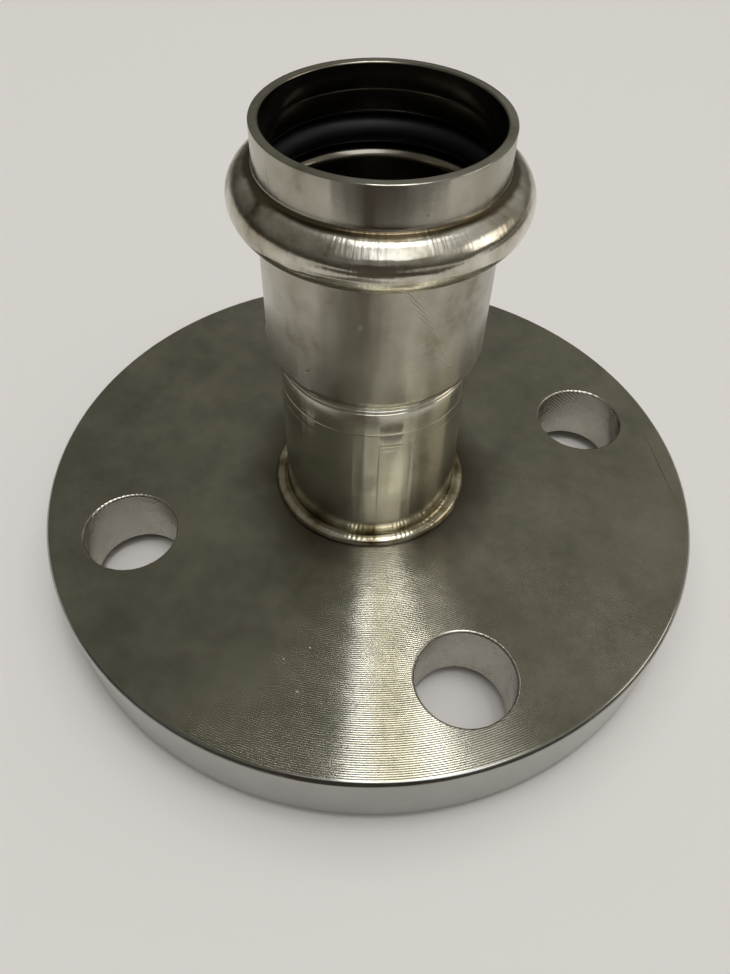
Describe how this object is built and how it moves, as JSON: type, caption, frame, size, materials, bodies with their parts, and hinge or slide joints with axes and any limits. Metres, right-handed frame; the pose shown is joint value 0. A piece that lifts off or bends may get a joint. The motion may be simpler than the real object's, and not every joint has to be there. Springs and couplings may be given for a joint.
{
  "type": "press flange adapter",
  "caption": "Stainless press flange adapter: bolted flange plate with a welded tube stub that ends in a press socket with its seal ring.",
  "frame": {"origin": "centre of the flange's raised sealing face", "axes": "+Z along the pipe axis, from the sealing face to the socket's mouth; the bolt holes straddle +X and +Y"},
  "size_m": [0.132, 0.132, 0.0912],
  "materials": {
    "turned_steel": "lathe-turned stainless steel with fine concentric tool marks",
    "drawn_steel": "formed stainless tube, satin with a smooth tail",
    "weld_steel": "rippled weld, straw coloured",
    "seal_rubber": "black moulded rubber"
  },
  "bodies": {
    "root": {"flange_plate": "turned_steel", "press_socket": "drawn_steel", "seal_ring": "seal_rubber", "fillet_weld": "weld_steel", "root_weld": "weld_steel"}
  },
  "joints": []
}
